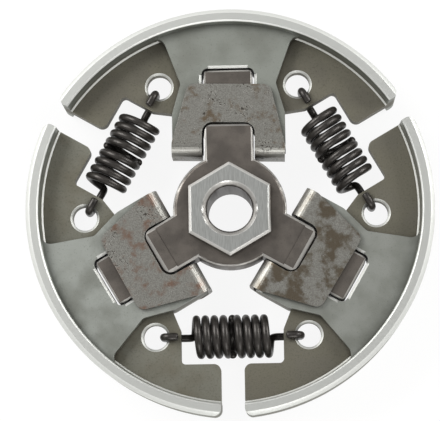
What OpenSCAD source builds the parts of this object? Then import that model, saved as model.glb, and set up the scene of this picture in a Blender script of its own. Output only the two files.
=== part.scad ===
// Centrifugal clutch of a brush cutter: a threaded carrier with three arms, three shoes that slide
// on the arms, three folded retainers and three tension springs. Millimetres, hexagon up.

/* [Drum and shoes] */
// Bore radius of the drum that the shoes are turned to fit
drum_r = 41; // [40:0.5:43]
// Outward travel of a shoe from rest to the drum
shoe_travel = 1.1; // [0.8:0.1:1.5]
// Gap between the ends of two shoes at rest
end_gap = 4.6; // [4:0.2:5.6]

/* [Shoe rim] */
// Axial width of the rim
rim_w = 12.4; // [11.6:0.2:14]
// Radial thickness of the rim
rim_t = 2.5; // [2.1:0.1:3]
// Chamfer of the rim's outer edges
rim_chamfer = 0.85; // [0.4:0.05:1]
// Chamfer of the rim's inner edges
rim_inner_chamfer = 0.3; // [0.1:0.05:0.5]
// How far the drafted inner wall has come in where it meets the web
rim_root = 0.6; // [0.4:0.05:0.9]
// Radius of the rounded outer corners at the shoe's ends
end_corner_r = 1.5; // [0.8:0.1:2]

/* [Shoe web] */
// Thickness of the web between its two sunk pockets
web_t = 3.2; // [2.8:0.1:3.8]
// Distance of the edge that a hook pulls on from the middle of the gap
spring_edge = 10.05; // [9.6:0.05:11]
// Start of that edge, measured outwards along the gap
edge_start = 23.3; // [22.8:0.1:23.8]
// Distance of the toe's inner edge from the clutch axis, measured along the gap
toe_start = 29.9; // [29.6:0.1:31]
// Where the web leaves the leg, measured from the clutch axis
web_root = 19.8; // [19.2:0.1:20.2]
// Corner radius at the toe
toe_r = 1.4; // [0.6:0.1:1.8]
// Corner radius in the notch beside the toe
notch_r = 0.9; // [0.4:0.1:1.4]

/* [Shoe land and legs] */
// Depth of the raised land below the rim's face
land_drop = 2.2; // [1.8:0.1:2.6]
// Width across the two legs
legs_w = 22.3; // [21.6:0.1:23]
// Distance from the axis to where the legs' sides start to lean in
knee_y = 19.3; // [18.9:0.1:19.7]
// Width of the land at its waist
waist_w = 18.8; // [18.2:0.1:19.6]
// Distance from the axis to the waist
waist_y = 25.4; // [25:0.1:26.2]
// Lean of the land's sides outwards from the waist to the rim
land_lean = 20.5; // [17:0.5:24]
// Radius of the fillet between the land and the rim
land_fillet_r = 2; // [1.2:0.1:2.6]
// Radius that rounds the knee between a leg and the leaning side
knee_r = 2.5; // [1:0.5:4]
// Radius that rounds the waist
waist_r = 1.5; // [0.5:0.5:3]

/* [Slot and arm] */
// Width of an arm
arm_w = 9.6; // [9:0.1:10]
// Distance from the axis to the end of an arm
arm_reach = 28; // [27:0.1:29]
// Clearance between an arm and each wall of its slot
slot_slack = 0.4; // [0.3:0.05:0.5]
// Axial clearance between an arm and each flap of its retainer
arm_slack = 0.18; // [0.12:0.02:0.3]
// Corner radius at the end of a slot
slot_corner_r = 1.2; // [0.8:0.1:1.6]
// Chamfer along the edges of a slot
slot_chamfer = 0.5; // [0.3:0.1:0.6]
// Chamfer along the edges of an arm
arm_chamfer = 0.35; // [0.2:0.05:0.5]

/* [Retainer] */
// Sheet thickness of a retainer
sheet_t = 0.9; // [0.7:0.1:1.1]
// Inside bend radius of its two folds
bend_r = 1.6; // [1.2:0.1:1.9]
// Distance from the axis to the outer edge of its flaps
flap_reach = 25.05; // [24.2:0.05:25.8]
// Width of a flap at its outer edge, before the corners are rounded
flap_w = 16.2; // [15.4:0.1:17]
// Corner radius of a flap
flap_corner_r = 1.8; // [1:0.1:2.4]
// Radius of the bend where a flap's sides start to draw in
flap_side_r = 2; // [1:0.5:3]
// Clearance between its opening and each side of the arm
opening_slack = 0.4; // [0.3:0.05:0.5]
// Corner radius at the ends of its opening
opening_r = 2.1; // [1.6:0.1:2.6]
// Gap between a flap and the land that it lies on
flap_gap = 0.03; // [0.02:0.01:0.06]
// Gap between the fold and the ends of the legs
fold_gap = 0.35; // [0.3:0.05:0.5]
// Gap between the fold and the edge of the carrier's disc
disc_gap = 0.75; // [0.5:0.05:1]
// Slack turn of a retainer on its shoe, in degrees
clip_turn = 1.5; // [0:0.25:1.5]

/* [Carrier] */
// Minor diameter of the left-hand M10 x 1 thread
thread_minor_d = 8.92; // [8.5:0.02:9.2]
// Diameter of the lead-in chamfer on the hexagon's face
lead_in_d = 10.9; // [10.4:0.1:11.4]
// Diameter of the lead-in chamfer on the seat
seat_lead_in_d = 10.2; // [9.8:0.1:10.8]
// Radius of the disc
disc_r = 11.15; // [10.8:0.05:11.4]
// Radius of the disc's rounded front edge
disc_edge_r = 0.7; // [0.4:0.05:0.9]
// Radius of the boss that carries the seat
seat_r = 8.6; // [7.6:0.1:9.4]
// How far the seat stands behind the shoes
seat_proud = 0.2; // [0.1:0.05:0.8]
// Chamfer round the seat
seat_chamfer = 0.5; // [0.2:0.1:0.8]
// Chamfer round the back edge of the disc
disc_chamfer = 1; // [0.4:0.1:1.4]
// Size across the flats of the hexagon
hex_af = 16; // [15:0.5:17]
// Height of the hexagon above the disc
hex_h = 2.3; // [1.8:0.1:4]
// Width of the chamfer round the top of the hexagon
hex_chamfer = 0.55; // [0.3:0.05:0.8]
// Depth of that chamfer
hex_chamfer_depth = 0.4; // [0.2:0.05:0.8]
// Distance from the axis to the outer end of a raised tab
tab_reach = 17.05; // [16.4:0.05:17.8]
// How far a tab stands above the retainer
tab_proud = 0.17; // [0.05:0.01:0.4]
// Clearance between a tab and the end of the retainer's opening
tab_slack = 0.35; // [0.3:0.05:0.6]
// Corner radius at the end of a tab
tab_corner_r = 1.7; // [1:0.1:2.2]
// Chamfer round the top of a tab
tab_chamfer = 0.45; // [0.2:0.05:0.6]
// Length of the low pad on the two plain tabs
pad_len = 2.6; // [2:0.1:3.2]
// Height of that pad
pad_h = 0.22; // [0.1:0.02:0.3]

/* [Springs] */
// Wire diameter
wire_d = 1.5; // [1.3:0.05:1.6]
// Mean diameter of the coils
coil_d = 7.15; // [6.8:0.05:7.4]
// Number of coils
coils = 8; // [6:1:8]
// Distance from one coil to the next at rest
coil_pitch = 1.77; // [1.68:0.01:1.85]
// Distance from the clutch axis to a spring's own axis
spring_line = 24.5; // [24.2:0.1:24.8]
// Diameter of the holes that the hooks go through
hook_hole_d = 4.8; // [4.4:0.1:5]
// Web left between a hook hole and the edge
hook_bar = 2.55; // [2.3:0.05:2.8]
// Chamfer of the hook holes
hook_hole_chamfer = 0.45; // [0.4:0.05:0.55]
// Gap between a hook and the web that it goes round
hook_gap = 0.12; // [0.1:0.01:0.2]
// Centre-line radius of a hook's bends
hook_r = 1.3; // [1.2:0.05:1.4]
// Length of the straight end that lies on the web's face
hook_tip = 1.6; // [1.2:0.1:1.8]
// Turn of the coil past its back-most point where the wire leaves for a hook, in degrees
leave_turn = 28; // [20:2:36]
// How strongly the wire's bend there follows the coil and the hook
leave_pull = 1.9; // [1.6:0.1:2.2]

/* [Hidden] */
$fn = 96;
// Step of the small arcs in outlines, in degrees
arc_step = 10;
// Overlap of solids that are joined, and reach of cuts past a face
weld = 0.4;
// Spare angle swept at each end of a rim before its ends are cut, in degrees
sweep_spare = 10;
// Angle from one arm to the next
arm_angle = 120;
// Direction of the gap on a shoe's right, in degrees from the X axis
gap_angle = 90 - arm_angle / 2;
// Share of the rim's root that is draft, the rest being fillet
draft_share = 0.45;
// Sides of the swept wire, and its rings in each coil, along a hook's bends and where it leaves the coil
wire_sides = 8;
coil_rings = 14;
bend_rings = 4;
leave_rings = 5;
// Straight length of a hook next to the edge and next to its first bend
hook_lead = 0.6;

// Levels along the clutch axis
mid_z = rim_w / 2 + seat_proud;
land_half = rim_w / 2 - land_drop;
flap_in = land_half + flap_gap;
flap_out = flap_in + sheet_t;
arm_half = flap_in - arm_slack;
face_z = mid_z + flap_out + tab_proud;
hex_z = face_z + hex_h;

// Reach of cuts and outlines that run past the shoes
above = hex_z + 1;
beyond = 1.5 * drum_r;

// Plan sizes that follow from the others
shoe_centre = [0, -shoe_travel];
rim_in_r = drum_r - rim_t;
core_r = drum_r - rim_t / 2;
slot_half = arm_w / 2 + slot_slack;
slot_end = arm_reach + slot_slack;
opening_half = arm_w / 2 + opening_slack;
opening_end = tab_reach + tab_slack;
clip_in = sqrt(pow(disc_r + disc_gap, 2) - pow(opening_half, 2));
legs_in = clip_in + sheet_t + fold_gap;
hole_along = spring_edge + hook_bar + hook_hole_d / 2;
hook_along = spring_edge + hook_bar + hook_gap + wire_d / 2;
hook_half = web_t / 2 + hook_gap + wire_d / 2;

// Angles of the coil's first and last points from its first crest: a hook leaves behind each
first_turn = leave_turn - 90;
last_turn = 360 * (coils - 1) + 270 - leave_turn;

// Vector of length 1 in the direction of v
function unit(v) = v / norm(v);

// Points of the arc that rounds corner b between its neighbours a and c
function corner_arc(a, b, c, r) =
    let (u = unit(a - b), v = unit(c - b), half = acos(u * v) / 2)
    let (m = b + unit(u + v) * r / sin(half), s = b + u * r / tan(half) - m, e = b + v * r / tan(half) - m)
    let (from = atan2(s.y, s.x), turn = (atan2(e.y, e.x) - from + 540) % 360 - 180)
    let (n = max(1, ceil(abs(turn) / arc_step)))
    [for (k = [0:n]) m + r * [cos(from + turn * k / n), sin(from + turn * k / n)]];

// A closed outline from corners [x, y, radius], each rounded by its own radius
function rounded(c) = [
    for (i = [0:len(c) - 1])
        let (b = [c[i].x, c[i].y], p = c[(i + len(c) - 1) % len(c)], q = c[(i + 1) % len(c)])
        each c[i].z > 0 ? corner_arc([p.x, p.y], b, [q.x, q.y], c[i].z) : [b]
];

// The right half of a list of points or corners, followed by its mirror image
function both_sides(p) = concat(p, [
    for (i = [len(p) - 1:-1:0]) [for (k = [0:len(p[i]) - 1]) k == 0 ? -p[i][k] : p[i][k]]
]);

// A point at t along the right-hand gap and u beside its middle line
function gap_point(t, u) =
    t * [cos(gap_angle), sin(gap_angle)] + u * [-sin(gap_angle), cos(gap_angle)];

// A rectangle on the plane, centred, with its corners cut by c
function cut_rectangle(w, h, c) = [
    [w / 2 - c, -h / 2], [w / 2, -h / 2 + c], [w / 2, h / 2 - c], [w / 2 - c, h / 2],
    [-w / 2 + c, h / 2], [-w / 2, h / 2 - c], [-w / 2, -h / 2 + c], [-w / 2 + c, -h / 2]
];

// Extrudes a plan from one level to another
module slab(from, to) {
    translate([0, 0, from]) linear_extrude(to - from) children();
}

// Extrudes a side view, drawn as outward distance and height, across a width
module across(w) {
    translate([-w / 2, 0, 0]) rotate([90, 0, 90]) linear_extrude(w) children();
}

// Extrudes an end view, drawn as sideways distance and height, outwards
module outwards(from, to) {
    translate([0, to, 0]) rotate([90, 0, 0]) linear_extrude(to - from) children();
}

// Puts what is drawn for the top arm on arm number i
module on_arm(i) {
    rotate([0, 0, arm_angle * (i - 1)]) children();
}

// Section of the rim: chamfered outer edges, drafted inner wall and the root of the web
module rim_section() {
    draft = rim_root * draft_share;
    root = rim_root - draft;
    upper = [
        [rim_in_r - rim_root, web_t / 2],
        [rim_in_r - draft, web_t / 2 + root],
        [rim_in_r, rim_w / 2 - rim_inner_chamfer],
        [rim_in_r + rim_inner_chamfer, rim_w / 2],
        [drum_r - rim_chamfer, rim_w / 2],
        [drum_r, rim_w / 2 - rim_chamfer]
    ];
    polygon(concat(upper, [for (i = [len(upper) - 1:-1:0]) [upper[i].x, -upper[i].y]]));
}

// Plan of a shoe's edges: the bearing edge, the notch, the toe, the end face and its round corner
module shoe_edges() {
    end_half = end_gap / 2;
    // The round corner touches the end face and the drum circle
    c = [shoe_centre * gap_point(1, 0), shoe_centre * gap_point(0, 1)];
    u = end_half + end_corner_r;
    t = c.x + sqrt(pow(drum_r - end_corner_r, 2) - pow(u - c.y, 2));
    last = atan2(u - c.y, t - c.x);
    n = ceil((last + 90) / arc_step);
    corner = [
        for (k = [0:n])
            let (a = gap_angle - 90 + (last + 90) * k / n)
            gap_point(t, u) + end_corner_r * [cos(a), sin(a)]
    ];
    start = gap_point(edge_start, spring_edge);
    notch = gap_point(toe_start, spring_edge);
    toe = gap_point(toe_start, end_half);
    inner = [legs_w / 2, web_root];
    polygon(both_sides(concat(
        [inner],
        corner_arc(inner, start, notch, notch_r),
        corner_arc(start, notch, toe, notch_r),
        corner_arc(notch, toe, corner[0], toe_r),
        corner,
        [unit(corner[n] - shoe_centre) * beyond, [0, beyond]]
    )));
}

// Plan of the raised land with its waist and legs, faired into the rim by a fillet
module land_plan() {
    waist = [waist_w / 2, waist_y];
    along = [sin(land_lean), cos(land_lean)];
    beside = [cos(land_lean), -sin(land_lean)];
    // The fillet touches the leaning side and the rim's inner circle
    base = waist + land_fillet_r * beside - shoe_centre;
    reach = rim_in_r - land_fillet_r;
    s = sqrt(pow(base * along, 2) - base * base + reach * reach) - base * along;
    centre = waist + s * along + land_fillet_r * beside;
    from = 180 - land_lean;
    outward = centre - shoe_centre;
    turn = from - atan2(outward.y, outward.x);
    n = ceil(turn / arc_step);
    fillet = [
        for (k = [0:n])
            let (a = from - turn * k / n) centre + land_fillet_r * [cos(a), sin(a)]
    ];
    knee = [legs_w / 2, knee_y];
    polygon(both_sides(concat(
        [[legs_w / 2, legs_in]],
        corner_arc([legs_w / 2, legs_in], knee, waist, knee_r),
        corner_arc(knee, waist, fillet[0], waist_r),
        fillet,
        [shoe_centre + unit(outward) * core_r, [0, core_r - shoe_travel]]
    )));
}

// Plan of the slot, from past the legs to its round-cornered end, widened by more
module slot_plan(more = 0) {
    w = slot_half + more;
    polygon(rounded(both_sides([[w, 0, 0], [w, slot_end + more, slot_corner_r + more]])));
}

// Side view of the land and the legs, whose ends are rounded to clear the retainer's folds
module legs_side() {
    r = bend_r + fold_gap / 2;
    h = mid_z + land_half;
    l = mid_z - land_half;
    polygon(rounded([[legs_in, l, r], [drum_r, l, 0], [drum_r, h, 0], [legs_in, h, r]]));
}

// One shoe, drawn at rest on the top arm
module shoe() {
    color("#9a9c96") difference() {
        union() {
            intersection() {
                translate([shoe_centre.x, shoe_centre.y, mid_z])
                    rotate([0, 0, gap_angle - sweep_spare])
                        rotate_extrude(angle = arm_angle + 2 * sweep_spare) rim_section();
                slab(0, above) shoe_edges();
            }
            slab(mid_z - web_t / 2, mid_z + web_t / 2) intersection() {
                translate(shoe_centre) circle(core_r);
                shoe_edges();
            }
            intersection() {
                slab(0, above) intersection() {
                    land_plan();
                    translate(shoe_centre) circle(core_r);
                }
                across(2 * rim_in_r) legs_side();
            }
        }
        slab(-weld, above) slot_plan();
        for (side = [-1, 1]) {
            slot_bevels(side);
            for (wing = [-1, 1]) hook_hole(wing, side);
        }
    }
}

// Chamfers along the two walls and the end of a slot, on the front or the back
module slot_bevels(side) {
    z = mid_z + side * land_half;
    c = slot_chamfer;
    corner = [[0, -c * side], [c + weld, weld * side], [0, weld * side]];
    for (wall = [-1, 1])
        outwards(0, slot_end - slot_corner_r) translate([wall * slot_half, z]) scale([wall, 1])
            polygon(corner);
    across(2 * (slot_half - slot_corner_r)) translate([slot_end, z]) polygon(corner);
}

// Hole for a spring's hook in one wing, with the chamfer of its front or back
module hook_hole(wing, side) {
    at = gap_point(spring_line, hole_along);
    c = hook_hole_chamfer;
    translate([wing * at.x, at.y, mid_z]) {
        cylinder(h = web_t + 2 * weld, d = hook_hole_d, center = true);
        rotate([side > 0 ? 0 : 180, 0, 0]) translate([0, 0, web_t / 2 - c])
            cylinder(h = 2 * c, d1 = hook_hole_d, d2 = hook_hole_d + 4 * c);
    }
}

// Side view of the folded sheet: two flaps and the fold between them
module sheet_side() {
    outer = bend_r + sheet_t;
    far = flap_reach + bend_r;
    polygon(concat(
        rounded_end(clip_in, flap_out, outer, far, 1),
        rounded_end(clip_in + sheet_t, flap_in, bend_r, far, -1)
    ));
}

// A U-shaped line round the fold: upwards for way 1, back down for way -1
function rounded_end(y, half, r, far, way) =
    let (n = ceil(90 / arc_step))
    let (quarter = [for (k = [0:n]) [y + r - r * sin(90 * k / n), half - r + r * cos(90 * k / n)]])
    let (upper = concat([[far, half]], quarter))
    let (line = concat(upper, [for (i = [len(upper) - 1:-1:0]) [upper[i].x, -upper[i].y]]))
    [for (i = [0:len(line) - 1]) let (p = line[way > 0 ? i : len(line) - 1 - i]) [p.x, mid_z + p.y]];

// Plan of a retainer: parallel at the fold, then drawn in to the flaps' outer edge
module retainer_plan() {
    polygon(rounded(both_sides([
        [legs_w / 2, clip_in - 1, 0],
        [legs_w / 2, clip_in + bend_r + sheet_t, flap_side_r],
        [flap_w / 2, flap_reach, flap_corner_r]
    ])));
}

// One retainer, drawn on the top shoe: a U of sheet whose opening lets the arm through
module retainer() {
    pivot = [0, (clip_in + flap_reach) / 2, 0];
    color("#8c857a") translate(pivot) rotate([0, 0, -clip_turn]) translate(-pivot) difference() {
        intersection() {
            across(2 * legs_w) sheet_side();
            slab(0, above) retainer_plan();
        }
        slab(-weld, above) polygon(rounded(both_sides([
            [opening_half, 0, 0], [opening_half, opening_end, opening_r]
        ])));
    }
}

// Disc and seat boss of the carrier, turned about the axis
module hub_section() {
    back = mid_z - arm_half;
    edge = [
        for (k = [0:3])
            [disc_r - disc_edge_r * (1 - cos(30 * k)), face_z - disc_edge_r * (1 - sin(30 * k))]
    ];
    polygon(concat(
        [[0, 0], [seat_r - seat_chamfer, 0], [seat_r, seat_chamfer], [seat_r, back]],
        [[disc_r - disc_chamfer, back], [disc_r, back + disc_chamfer]],
        edge,
        [[0, face_z]]
    ));
}

// Hexagon with chamfered top edges, as three crossing bars
module hexagon() {
    base = face_z - weld;
    intersection_for (a = [0, 60, 120]) rotate([0, 0, a]) rotate([90, 0, 0])
        linear_extrude(2 * hex_af, center = true) polygon([
            [hex_af / 2, base], [hex_af / 2, hex_z - hex_chamfer_depth],
            [hex_af / 2 - hex_chamfer, hex_z], [-hex_af / 2 + hex_chamfer, hex_z],
            [-hex_af / 2, hex_z - hex_chamfer_depth], [-hex_af / 2, base]
        ]);
}

// An arm of the top shoe, with all its long edges and its end chamfered
module arm() {
    intersection() {
        slab(0, above) polygon(rounded(both_sides([
            [arm_w / 2, 0, 0], [arm_w / 2, arm_reach, slot_corner_r - slot_slack]
        ])));
        outwards(0, beyond) translate([0, mid_z])
            polygon(cut_rectangle(arm_w, 2 * arm_half, arm_chamfer));
        across(2 * arm_w) translate([0, mid_z])
            polygon(cut_rectangle(2 * arm_reach, 2 * arm_half, arm_chamfer));
    }
}

// A raised tab from the hub to its round-cornered end, up to a level
module tab(from, to, top, bevel) {
    intersection() {
        slab(mid_z, top) polygon(rounded(both_sides([
            [arm_w / 2, from, 0], [arm_w / 2, to, tab_corner_r]
        ])));
        outwards(-beyond, beyond) translate([0, top - arm_w / 2])
            polygon(cut_rectangle(arm_w, arm_w, bevel));
        across(2 * arm_w) translate([0, top - arm_w / 2])
            polygon(cut_rectangle(2 * to, arm_w, bevel));
    }
}

// The carrier: disc, hexagon, seat and three arms with raised tabs, in one casting
module carrier() {
    color("#716c67") difference() {
        union() {
            rotate_extrude() hub_section();
            hexagon();
            for (i = [1:3]) on_arm(i) {
                arm();
                tab(0, tab_reach, face_z, tab_chamfer);
            }
            for (i = [2, 3]) on_arm(i)
                tab(tab_reach - pad_len, tab_reach, face_z + pad_h, tab_chamfer + pad_h);
        }
        translate([0, 0, -weld]) cylinder(h = above, d = thread_minor_d);
        lead_in = (lead_in_d - thread_minor_d) / 2;
        translate([0, 0, hex_z - lead_in])
            cylinder(h = 2 * lead_in, d1 = thread_minor_d, d2 = thread_minor_d + 4 * lead_in);
        seat_in = (seat_lead_in_d - thread_minor_d) / 2;
        translate([0, 0, -seat_in])
            cylinder(h = 2 * seat_in, d1 = thread_minor_d + 4 * seat_in, d2 = thread_minor_d);
    }
}

// Point of the coil at an angle from its first crest, which faces the hub
function coil_point(a) = [
    coil_pitch * (a / 360 - (coils - 1) / 2), coil_d / 2 * cos(a), coil_d / 2 * sin(a)
];

// Direction of the coil there
function coil_way(a) = unit([coil_pitch / (PI * coil_d), -sin(a), cos(a)]);

// Points of a smooth line from a point and direction to another, with n steps
function smooth_line(p, p_way, q, q_way, pull, n) = [
    for (k = [1:n - 1])
        let (s = k / n, a = p + p_way * pull, b = q - q_way * pull)
        p * pow(1 - s, 3) + a * 3 * s * pow(1 - s, 2) + b * 3 * s * s * (1 - s) + q * pow(s, 3)
];

// Hook at the end that lies along +X: out behind the web, up through the hole and back over the face
function hook_line() =
    let (x = hook_along, h = hook_half, r = hook_r, n = bend_rings)
    concat(
        [[spring_edge - hook_lead, 0, -h], [x - r - hook_lead, 0, -h]],
        [for (k = [0:n]) [x - r + r * sin(90 * k / n), 0, -h + r - r * cos(90 * k / n)]],
        [for (k = [0:n]) [x - r + r * cos(90 * k / n), 0, h - r + r * sin(90 * k / n)]],
        [[x - r - hook_tip, 0, h]]
    );

// Centre line of a whole spring along X, its front towards +Z and the hub towards +Y
function spring_path() =
    let (hook = hook_line(), n = len(hook))
    let (left = [for (i = [n - 1:-1:0]) [-hook[i].x, hook[i].y, hook[i].z]])
    let (first = coil_point(first_turn), last = coil_point(last_turn))
    let (steps = round((last_turn - first_turn) / 360 * coil_rings))
    concat(
        left,
        smooth_line(left[n - 1], [1, 0, 0], first, coil_way(first_turn), leave_pull, leave_rings),
        [for (k = [0:steps]) coil_point(first_turn + (last_turn - first_turn) * k / steps)],
        smooth_line(last, coil_way(last_turn), hook[0], [1, 0, 0], leave_pull, leave_rings),
        hook
    );

// Direction of a path at point i
function path_way(p, i) = unit(p[min(i + 1, len(p) - 1)] - p[max(i - 1, 0)]);

// Carries a direction n across the path along it without twist, one ring after the other
function carried(p, i = 0, n = [0, 1, 0]) =
    i == len(p) ? [] :
    let (t = path_way(p, i), m = unit(n - (n * t) * t))
    concat([m], carried(p, i + 1, m));

// Wire of diameter wire_d along a path, as one closed surface
module wire(path) {
    across_wire = carried(path);
    n = len(path);
    m = wire_sides;
    points = [
        for (i = [0:n - 1], k = [0:m - 1])
            let (u = across_wire[i], v = cross(path_way(path, i), u), a = 360 * k / m)
            path[i] + wire_d / 2 * (cos(a) * u + sin(a) * v)
    ];
    sides = [
        for (i = [0:n - 2], k = [0:m - 1])
            let (a = i * m + k, b = i * m + (k + 1) % m)
            each [[a, b, b + m], [a, b + m, a + m]]
    ];
    first = [for (k = [m - 1:-1:0]) k];
    last = [for (k = [0:m - 1]) (n - 1) * m + k];
    polyhedron(points, concat([first], sides, [last]));
}

// The spring between two shoes, drawn in the gap at the given angle from the X axis
module spring(angle) {
    color("#33302d") rotate([0, 0, angle + 90]) translate([0, -spring_line, mid_z]) wire(spring_path());
}

module shoe_1() { on_arm(1) shoe(); }
module shoe_2() { on_arm(2) shoe(); }
module shoe_3() { on_arm(3) shoe(); }
module retainer_1() { on_arm(1) retainer(); }
module retainer_2() { on_arm(2) retainer(); }
module retainer_3() { on_arm(3) retainer(); }
module spring_1() { spring(gap_angle + arm_angle); }
module spring_2() { spring(gap_angle + 2 * arm_angle); }
module spring_3() { spring(gap_angle); }

carrier();
shoe_1();
shoe_2();
shoe_3();
retainer_1();
retainer_2();
retainer_3();
spring_1();
spring_2();
spring_3();
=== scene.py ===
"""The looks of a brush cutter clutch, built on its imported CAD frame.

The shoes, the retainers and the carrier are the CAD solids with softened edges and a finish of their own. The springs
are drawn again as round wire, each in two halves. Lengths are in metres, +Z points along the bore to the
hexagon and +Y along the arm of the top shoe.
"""

import math

import bpy
import numpy as np
from mathutils import Matrix, Vector


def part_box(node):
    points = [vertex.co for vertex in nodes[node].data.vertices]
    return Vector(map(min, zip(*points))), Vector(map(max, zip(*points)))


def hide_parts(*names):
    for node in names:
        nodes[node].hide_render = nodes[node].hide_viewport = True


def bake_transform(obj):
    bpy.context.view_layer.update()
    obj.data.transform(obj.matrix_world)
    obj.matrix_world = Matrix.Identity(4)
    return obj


MM = 0.001

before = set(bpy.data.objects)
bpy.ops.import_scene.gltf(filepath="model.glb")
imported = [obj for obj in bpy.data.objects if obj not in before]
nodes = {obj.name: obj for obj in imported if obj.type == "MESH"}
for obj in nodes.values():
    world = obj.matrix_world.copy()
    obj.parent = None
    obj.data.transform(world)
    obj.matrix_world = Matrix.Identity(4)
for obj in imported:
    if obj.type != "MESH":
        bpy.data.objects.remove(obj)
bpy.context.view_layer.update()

# Bodies of the frame, and the direction of the arm that each shoe slides on
ARM_DEGREES = {1: 90, 2: 210, 3: 330}

# Levels read from the frame
shoe_low, shoe_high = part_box("shoe_1")
clip_low, clip_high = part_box("retainer_1")
carrier_low, carrier_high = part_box("carrier")
MIDDLE = (shoe_low.z + shoe_high.z) / 2
RIM_HALF = (shoe_high.z - shoe_low.z) / 2
SHEET = 0.9 * MM
LAND_HALF = (clip_high.z - clip_low.z) / 2 - SHEET
WEB_HALF = 1.6 * MM
HEX_TOP = carrier_high.z


# Colours and shader nodes

def colour(code):
    """The linear RGBA of an sRGB hex colour such as "#8a8f88"."""
    srgb = np.array([int(code[i:i + 2], 16) for i in (1, 3, 5)]) / 255
    linear = np.where(srgb <= 0.04045, srgb / 12.92, ((srgb + 0.055) / 1.055) ** 2.4)
    return (*linear, 1.0)


def add(tree, kind, inputs=None, **settings):
    """Adds a shader node. settings are its properties, inputs its sockets' values or the sockets that feed them."""
    made = tree.nodes.new("ShaderNode" + kind)
    for name, value in settings.items():
        setattr(made, name, value)
    for name, value in (inputs or {}).items():
        if isinstance(value, bpy.types.NodeSocket):
            tree.links.new(value, made.inputs[name])
        else:
            made.inputs[name].default_value = value
    return made


def new_material(name):
    """An empty node material and its tree."""
    material = bpy.data.materials.new(name)
    material.use_nodes = True
    material.node_tree.nodes.clear()
    return material, material.node_tree


def ramp(tree, value, low, high, to_low=0.0, to_high=1.0):
    """value taken smoothly from low..high to to_low..to_high, as a socket."""
    return add(tree, "MapRange", {"Value": value, "From Min": low, "From Max": high,
                                  "To Min": to_low, "To Max": to_high}, interpolation_type="SMOOTHSTEP").outputs[0]


def mixed(tree, amount, below, above):
    """Colour below where amount is 0, above where it is 1, as a socket."""
    return add(tree, "Mix", {"Factor": amount, 6: below, 7: above}, data_type="RGBA").outputs[2]


def maths(tree, operation, *values):
    """The result of a Math node on one, two or three values, as a socket."""
    return add(tree, "Math", dict(enumerate(values)), operation=operation).outputs[0]


def grain(tree, coords, size, detail=4.0, harshness=0.5, seed=0.0):
    """Noise from 0 to 1 whose features measure size metres, as a socket."""
    moved = add(tree, "VectorMath", {0: coords, 1: (seed, seed * 0.7, -seed)}, operation="ADD").outputs[0]
    return add(tree, "TexNoise", {"Vector": moved, "Scale": 1 / size, "Detail": detail,
                                  "Roughness": harshness}).outputs["Fac"]


def surface(tree, base, metallic, roughness, relief=None, depth=0.0, **constants):
    """Closes a material with a Principled shader, whose normal follows relief, depth metres high."""
    shader = add(tree, "BsdfPrincipled", {"Base Color": base, "Metallic": metallic, "Roughness": roughness})
    for name, value in constants.items():
        shader.inputs[name.replace("_", " ")].default_value = value
    if relief is not None:
        bump = add(tree, "Bump", {"Height": relief, "Distance": depth, "Strength": 1.0})
        tree.links.new(bump.outputs[0], shader.inputs["Normal"])
    tree.links.new(shader.outputs[0], add(tree, "OutputMaterial").inputs["Surface"])


def form(tree):
    """Sockets that materials share: position, height off the middle plane, distance from the axis, and slope."""
    place = add(tree, "TexCoord")
    axes = add(tree, "SeparateXYZ", {0: place.outputs["Object"]}).outputs
    off_middle = maths(tree, "ABSOLUTE", maths(tree, "SUBTRACT", axes[2], MIDDLE))
    flat = add(tree, "CombineXYZ", {0: axes[0], 1: axes[1]}).outputs[0]
    radius = add(tree, "VectorMath", {0: flat}, operation="LENGTH").outputs["Value"]
    upright = add(tree, "SeparateXYZ", {0: place.outputs["Normal"]}).outputs[2]
    slope = maths(tree, "SUBTRACT", 1.0, maths(tree, "ABSOLUTE", upright))
    return place.outputs["Object"], axes, off_middle, radius, slope


def rubbed_and_highlit_edge(tree, slope):
    """1 on edges that are rounded between a flat face and a wall, 0 on the faces and the walls; the materials paint
    these edges lighter, partly as rubbed metal and partly as a painted highlight.
    """
    return maths(tree, "MULTIPLY", ramp(tree, slope, 0.03, 0.16), ramp(tree, slope, 0.45, 0.85, 1.0, 0.0))


# Materials

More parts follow.
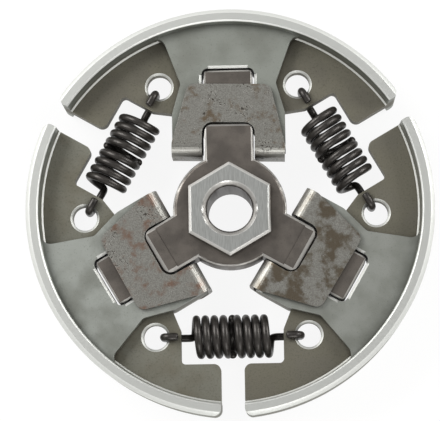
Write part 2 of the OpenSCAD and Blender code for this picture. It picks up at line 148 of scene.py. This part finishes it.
def sintered_shoe(name, seed, land, pocket):
    """Sintered iron, tumbled: matt grey land, turned bright rim, pockets oily brown and darker as painted shade,
    edges rubbed bare and painted lighter as a highlight, painted shade in corners.
    """
    material, tree = new_material(name)
    place, axes, off_middle, radius, slope = form(tree)
    speckle = grain(tree, place, 0.35 * MM, 3, 0.6, seed)
    cloud = grain(tree, place, 6 * MM, 3, 0.5, seed + 1)
    fine = grain(tree, place, 0.14 * MM, 2, 0.5, seed + 2)

    # Pockets: browner for oil, and darker as painted shade of the recess.
    deep = ramp(tree, off_middle, WEB_HALF + 0.1 * MM, LAND_HALF - 0.2 * MM, 1.0, 0.0)
    on_rim = ramp(tree, off_middle, RIM_HALF - 0.5 * MM, RIM_HALF - 0.1 * MM)
    tone = mixed(tree, ramp(tree, cloud, 0.35, 0.7), colour(land), colour("#7d7f78"))
    tone = mixed(tree, ramp(tree, speckle, 0.58, 0.75, 0.0, 0.35), tone, colour("#4c4a43"))
    sunk = mixed(tree, ramp(tree, cloud, 0.35, 0.65), colour(pocket), colour("#6d6a5e"))
    sunk = mixed(tree, ramp(tree, speckle, 0.5, 0.8, 0.0, 0.4), sunk, colour("#37322a"))
    tone = mixed(tree, deep, tone, sunk)
    tone = mixed(tree, on_rim, tone, colour("#b9bab6"))
    # Rounded edges painted lighter: partly metal rubbed bare, partly a painted highlight.
    tone = mixed(tree, maths(tree, "MULTIPLY", rubbed_and_highlit_edge(tree, slope), 0.75), tone, colour("#e6e7e3"))
    # Painted shade: darker towards corners and recesses, by ambient occlusion.
    corner_shade = add(tree, "AmbientOcclusion", {"Distance": 1.6 * MM}, samples=8).outputs["AO"]
    tone = mixed(tree, ramp(tree, corner_shade, 0.25, 0.8, 0.75, 0.0), tone, colour("#211d17"))

    rough = maths(tree, "ADD", 0.4, maths(tree, "MULTIPLY", speckle, 0.16))
    rough = maths(tree, "ADD", rough, maths(tree, "MULTIPLY", deep, 0.1))
    relief = maths(tree, "ADD", speckle, maths(tree, "MULTIPLY", fine, 0.6))
    surface(tree, tone, 0.85, rough, relief, 0.02 * MM)
    return material


def cast_carrier(name):
    """Cast and oiled steel: warm dark grey skin, edges rubbed bright and painted lighter as a highlight, a ground
    hexagon face, a dark thread and painted shade in corners.
    """
    material, tree = new_material(name)
    place, axes, off_middle, radius, slope = form(tree)
    speckle = grain(tree, place, 0.3 * MM, 3, 0.6, 3.1)
    cloud = grain(tree, place, 4 * MM, 3, 0.5, 4.2)
    stretched = add(tree, "Mapping", {"Vector": place, "Rotation": (0, 0, 0.5), "Scale": (1, 0.06, 1)}).outputs[0]
    scratch = grain(tree, stretched, 0.12 * MM, 3, 0.6, 5.3)

    tone = mixed(tree, ramp(tree, cloud, 0.35, 0.65), colour("#6a645e"), colour("#5a5550"))
    tone = mixed(tree, ramp(tree, speckle, 0.55, 0.8, 0.0, 0.45), tone, colour("#35302b"))
    ground = ramp(tree, axes[2], HEX_TOP - 0.35 * MM, HEX_TOP - 0.1 * MM)
    tone = mixed(tree, ground, tone, mixed(tree, ramp(tree, scratch, 0.3, 0.7), colour("#9b9c99"), colour("#b3b4b1")))
    # Rounded edges painted lighter: partly metal rubbed bare, partly a painted highlight.
    tone = mixed(tree, maths(tree, "MULTIPLY", rubbed_and_highlit_edge(tree, slope), 0.6), tone, colour("#d6d4cf"))
    in_bore = maths(tree, "MULTIPLY", ramp(tree, radius, 5.05 * MM, 5.3 * MM, 1.0, 0.0),
                    ramp(tree, axes[2], HEX_TOP - 0.9 * MM, HEX_TOP - 0.6 * MM, 1.0, 0.0))
    tone = mixed(tree, in_bore, tone, colour("#4b4743"))
    # Painted shade: darker towards corners and recesses, by ambient occlusion.
    corner_shade = add(tree, "AmbientOcclusion", {"Distance": 1.2 * MM}, samples=8).outputs["AO"]
    tone = mixed(tree, ramp(tree, corner_shade, 0.25, 0.8, 0.7, 0.0), tone, colour("#1d1916"))

    rough = maths(tree, "SUBTRACT", 0.46, maths(tree, "MULTIPLY", ground, 0.1))
    relief = maths(tree, "ADD", speckle, maths(tree, "MULTIPLY", scratch, ground))
    surface(tree, tone, 0.85, rough, relief, 0.015 * MM)
    return material


def rusted_sheet(name, seed, stain, stain_share, pits):
    """Pressed sheet steel that has lain about: pitted grey scale, brown patina in patches, rubbed edges also painted
    lighter as a highlight, painted shade in corners.
    """
    material, tree = new_material(name)
    place, axes, off_middle, radius, slope = form(tree)
    speckle = grain(tree, place, 0.45 * MM, 4, 0.65, seed)
    fine = grain(tree, place, 0.2 * MM, 3, 0.6, seed + 1)
    patch = grain(tree, place, 5 * MM, 4, 0.6, seed + 2)
    stains = grain(tree, place, 3.2 * MM, 5, 0.6, seed + 3)

    tone = mixed(tree, ramp(tree, fine, 0.3, 0.7), colour("#8b8a84"), colour("#6e6c66"))
    tone = mixed(tree, ramp(tree, stains, stain_share, stain_share + 0.18, 0.0, 0.85), tone, colour(stain))
    dark = maths(tree, "ADD", speckle, maths(tree, "MULTIPLY", maths(tree, "SUBTRACT", patch, 0.5), 0.7))
    dark = ramp(tree, dark, pits, pits + 0.12)
    tone = mixed(tree, maths(tree, "MULTIPLY", dark, 0.9), tone, colour("#2c2721"))
    # Rounded edges painted lighter: partly metal rubbed bare, partly a painted highlight.
    tone = mixed(tree, maths(tree, "MULTIPLY", rubbed_and_highlit_edge(tree, slope), 0.35), tone, colour("#c9c8c2"))
    # Painted shade: darker towards corners and recesses, by ambient occlusion.
    corner_shade = add(tree, "AmbientOcclusion", {"Distance": 0.8 * MM}, samples=8).outputs["AO"]
    tone = mixed(tree, ramp(tree, corner_shade, 0.2, 0.75, 0.6, 0.0), tone, colour("#1f1b16"))

    rough = maths(tree, "ADD", 0.42, maths(tree, "MULTIPLY", dark, 0.25))
    relief = maths(tree, "SUBTRACT", maths(tree, "MULTIPLY", fine, 0.5), dark)
    surface(tree, tone, 0.75, rough, relief, 0.03 * MM)
    return material


def oiled_wire(name):
    """Oil-tempered spring wire: near black, smooth, with a soft grey shine."""
    material, tree = new_material(name)
    place, axes, off_middle, radius, slope = form(tree)
    cloud = grain(tree, place, 0.8 * MM, 3, 0.6, 8.4)
    tone = mixed(tree, ramp(tree, cloud, 0.4, 0.75), colour("#3a3734"), colour("#262321"))
    rough = maths(tree, "ADD", 0.3, maths(tree, "MULTIPLY", cloud, 0.12))
    surface(tree, tone, 0.6, rough, cloud, 0.008 * MM)
    return material


# Springs: the sizes of the wire, the coil and the hooks, and the mesh's density

WIRE = 1.5 * MM
COIL = 7.15 * MM
PITCH = 1.77 * MM
COILS = 8
SPRING_LINE = 24.5 * MM
EDGE = 10.05 * MM
HOOK_R = 1.3 * MM
HOOK_TIP = 1.6 * MM
HOOK_LEAD = 0.6 * MM
HOOK_GAP = 0.12 * MM
LEAVE = 28
LEAVE_PULL = 1.9 * MM
WIRE_SIDES = 16
RINGS_PER_COIL = 48


def arc(centre, start, turn, radius, count):
    """Points of an arc in the XZ plane from the angle start through turn, both in degrees."""
    a = np.radians(start + turn * np.linspace(0, 1, count))[:, None]
    return np.array(centre) + radius * (np.cos(a) * (1, 0, 0) + np.sin(a) * (0, 0, 1))


def smooth_line(p, p_way, q, q_way, pull, count):
    """Points between p and q of the cubic that leaves p along p_way and comes into q along q_way."""
    s = np.linspace(0, 1, count)[1:-1, None]
    a, b = p + p_way * pull, q - q_way * pull
    return p * (1 - s) ** 3 + 3 * a * s * (1 - s) ** 2 + 3 * b * s * s * (1 - s) + q * s ** 3


def half_spring():
    """Centre line of the half from the middle of the coil to the hook at +X, front at +Z and hub at +Y.

    The coil is a right-hand helix whose crests face the hub. It is left 28 degrees past its back-most point by a
    cubic that turns into the hook: out behind the web, up through the hole and back over the web's face.
    """
    low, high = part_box("spring_2")
    along = high.x - WIRE / 2
    half = WEB_HALF + HOOK_GAP + WIRE / 2
    last = 360 * (COILS - 1) + 270 - LEAVE
    turns = np.linspace(360 * (COILS - 1) / 2, last, int((last / 360 - (COILS - 1) / 2) * RINGS_PER_COIL))
    a = np.radians(turns)
    coil = np.stack([PITCH * (turns / 360 - (COILS - 1) / 2), COIL / 2 * np.cos(a), COIL / 2 * np.sin(a)], 1)
    way = np.array([PITCH / (math.pi * COIL), -math.sin(a[-1]), math.cos(a[-1])])
    way /= np.linalg.norm(way)
    first = np.array([EDGE - HOOK_LEAD, 0, -half])
    out = np.array([1.0, 0, 0])
    up = arc((along - HOOK_R, 0, HOOK_R - half), -90, 90, HOOK_R, 14)
    over = arc((along - HOOK_R, 0, half - HOOK_R), 0, 90, HOOK_R, 14)
    tip = np.array([along - HOOK_R - HOOK_TIP, 0, half])
    return np.vstack([coil, smooth_line(coil[-1], way, first, out, LEAVE_PULL, 14), first, up, over, tip])


def tube(path, radius, sides):
    """Vertices, quads and the two end caps of a round wire along path, its last end rounded over.

    A cross direction is carried from ring to ring without twist, and ring k stands at path[k]. The last three rings
    shrink towards the end along a quarter circle.
    """
    end = path[-1] - path[-2]
    end /= np.linalg.norm(end)
    over = np.radians((30, 60, 85))
    path = np.vstack([path[:-1], path[-1] - end * radius * 0.5, *(
        path[-1] - end * radius * 0.5 * (1 - math.sin(a)) for a in over)])
    girth = np.ones(len(path))
    girth[-3:] = np.cos(over) ** 0.7
    ways = np.gradient(path, axis=0)
    ways /= np.linalg.norm(ways, axis=1)[:, None]
    across = np.empty_like(path)
    carried = np.array([0.3, 1.0, 0.2])
    for k, way in enumerate(ways):
        carried = carried - (carried @ way) * way
        carried /= np.linalg.norm(carried)
        across[k] = carried
    beside = np.cross(ways, across)
    a = np.linspace(0, 2 * math.pi, sides, endpoint=False)[None, :, None]
    rings = path[:, None] + radius * girth[:, None, None] * (
        np.cos(a) * across[:, None] + np.sin(a) * beside[:, None])
    k, s = np.meshgrid(np.arange(len(path) - 1), np.arange(sides), indexing="ij")
    k, s = k.ravel(), s.ravel()
    after = (s + 1) % sides
    quads = np.stack([k * sides + s, k * sides + after, (k + 1) * sides + after, (k + 1) * sides + s], 1)
    return rings.reshape(-1, 3), quads, (np.arange(sides)[::-1], (len(path) - 1) * sides + np.arange(sides))


def mesh_object(name, points, faces, material):
    """A smooth-shaded mesh object at the origin, in the scene."""
    mesh = bpy.data.meshes.new(name)
    mesh.from_pydata(points.tolist(), [], [list(map(int, f)) for f in faces])
    mesh.shade_smooth()
    mesh.materials.append(material)
    made = bpy.data.objects.new(name, mesh)
    bpy.context.scene.collection.objects.link(made)
    return made


def springs(material):
    """Each spring as two halves that stretch from the hub's rest place to the shoe that their hook holds."""
    line = half_spring()
    points, quads, caps = tube(line, WIRE / 2, WIRE_SIDES)
    for i, (start_shoe, end_shoe) in {1: (1, 2), 2: (2, 3), 3: (3, 1)}.items():
        gap = math.radians(ARM_DEGREES[start_shoe] + 60)
        turn = Matrix.Rotation(gap + math.pi / 2, 4, "Z") @ Matrix.Translation((0, -SPRING_LINE, MIDDLE))
        for half, shoe, flip in (("near", start_shoe, True), ("far", end_shoe, False)):
            piece = mesh_object(f"spring_{i}_{half}_half", points, [*quads, *caps], material)
            if flip:
                piece.data.transform(Matrix.Rotation(math.pi, 4, "Z"))
            piece.data.transform(turn)
            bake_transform(piece)
            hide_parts(f"spring_{i}")


# CAD pieces

def soften(name, width, material):
    """Welds a CAD node's faces, rounds its edges by width and gives it a finish."""
    piece = nodes[name]
    piece.data.materials.clear()
    piece.data.materials.append(material)
    weld = piece.modifiers.new("weld", "WELD")
    weld.merge_threshold = 0.002 * MM
    merge = piece.modifiers.new("merge flats", "DECIMATE")
    merge.decimate_type = "DISSOLVE"
    merge.angle_limit = math.radians(0.5)
    bevel = piece.modifiers.new("round edges", "BEVEL")
    bevel.width = width
    bevel.segments = 3
    bevel.limit_method = "ANGLE"
    bevel.angle_limit = math.radians(25)
    bevel.harden_normals = True


# The light, the floor and the camera

def emission_where_seen(tree, lit, strength):
    """A shader that is white to the camera and to reflections, and lit elsewhere; the floor keeps a faint shadow."""
    path = add(tree, "LightPath").outputs
    seen = maths(tree, "MAXIMUM", path["Is Camera Ray"], path["Is Glossy Ray"])
    seen = maths(tree, "MAXIMUM", seen, path["Is Transmission Ray"])
    white = add(tree, "Emission", {"Color": colour("#ffffff"), "Strength": 1.0}).outputs[0]
    return add(tree, "MixShader", {0: maths(tree, "MULTIPLY", seen, strength), 1: lit, 2: white}).outputs[0]


def stage():
    """A pale floor under the clutch, a pale world and three soft lamps."""
    bpy.ops.mesh.primitive_plane_add(size=6)
    floor = bpy.context.object
    floor.name = "floor"
    material, tree = new_material("pale floor")
    card = add(tree, "BsdfDiffuse", {"Color": colour("#f4f3f1")}).outputs[0]
    tree.links.new(emission_where_seen(tree, card, 0.9), add(tree, "OutputMaterial").inputs["Surface"])
    floor.data.materials.append(material)

    world = bpy.data.worlds.new("pale room")
    bpy.context.scene.world = world
    world.use_nodes = True
    tree = world.node_tree
    tree.nodes.clear()
    height = add(tree, "SeparateXYZ", {0: add(tree, "TexCoord").outputs["Generated"]}).outputs[2]
    level = ramp(tree, height, 0.2, 0.95, 0.75, 0.4)
    room = add(tree, "Background", {"Color": colour("#ffffff"), "Strength": level}).outputs[0]
    seen = add(tree, "Background", {"Color": colour("#ffffff"), "Strength": 1.0}).outputs[0]
    camera_ray = add(tree, "LightPath").outputs["Is Camera Ray"]
    tree.links.new(add(tree, "MixShader", {0: camera_ray, 1: room, 2: seen}).outputs[0],
                   add(tree, "OutputWorld").inputs["Surface"])

    for name, place, size, power in (("left softbox", (-0.55, 0.35, 0.5), 0.5, 7.0),
                                     ("right softbox", (0.6, 0.25, 0.4), 0.4, 4.0),
                                     ("front softbox", (0.1, -0.7, 0.45), 0.4, 2.5)):
        lamp = bpy.data.lights.new(name, "AREA")
        lamp.size = size
        lamp.energy = power
        holder = bpy.data.objects.new(name, lamp)
        holder.location = place
        holder.rotation_euler = (-Vector(place)).to_track_quat("-Z", "Y").to_euler()
        bpy.context.scene.collection.objects.link(holder)


# The photograph's frame and where the bore's axis meets the back of the carrier in it, in pixels
FRAME_W, FRAME_H = 440, 421
ORIGIN_PX = (231.1, 217.2)
FOCAL_PX = 2243
SENSOR = 36


def camera():
    """The photograph's view: 450 mm away, leaning 7.3 degrees to the near side and 1.2 to the right."""
    lean, aside, roll, distance = math.radians(7.3), math.radians(1.2), math.radians(0.9), 450 * MM
    back = Vector((math.sin(aside), -math.sin(lean), 1)).normalized()
    place = back * distance
    per_pixel = distance / FOCAL_PX
    right = Vector((0, 1, 0)).cross(back).normalized()
    up = back.cross(right)
    aim = (right * (FRAME_W / 2 - ORIGIN_PX[0]) + up * (ORIGIN_PX[1] - FRAME_H / 2)) * per_pixel
    view = (place - aim).normalized()
    right = Vector((0, 1, 0)).cross(view).normalized()
    up = view.cross(right)
    pose = Matrix((right, up, view)).transposed() @ Matrix.Rotation(-roll, 3, "Z")
    data = bpy.data.cameras.new("camera")
    data.sensor_width = SENSOR
    data.lens = FOCAL_PX * SENSOR / FRAME_W
    data.clip_start = 0.01
    holder = bpy.data.objects.new("camera", data)
    holder.matrix_world = Matrix.Translation(place) @ pose.to_4x4()
    bpy.context.scene.collection.objects.link(holder)
    bpy.context.scene.camera = holder


stage()
camera()

soften("carrier", 0.22 * MM, cast_carrier("cast steel, oiled"))
# Each shoe's tones of land and pocket, and each retainer's stain, share of it and share of pits
SHOE_TONES = {1: ("#8b8e87", "#67645a"), 2: ("#979a94", "#75746a"), 3: ("#8f918b", "#6c695f")}
RETAINER_TONES = {1: ("#5a4a36", 0.5, 0.6), 2: ("#6d5547", 0.48, 0.58), 3: ("#4d4232", 0.42, 0.66)}
for i, (land, pocket) in SHOE_TONES.items():
    soften(f"shoe_{i}", 0.3 * MM, sintered_shoe(f"sintered iron {i}", 11.0 * i, land, pocket))
for i, (stain, share, pits) in RETAINER_TONES.items():
    soften(f"retainer_{i}", 0.15 * MM, rusted_sheet(f"pitted sheet steel {i}", 7.0 * i, stain, share, pits))
springs(oiled_wire("oil-tempered wire"))

bpy.context.scene.view_settings.view_transform = "Standard"
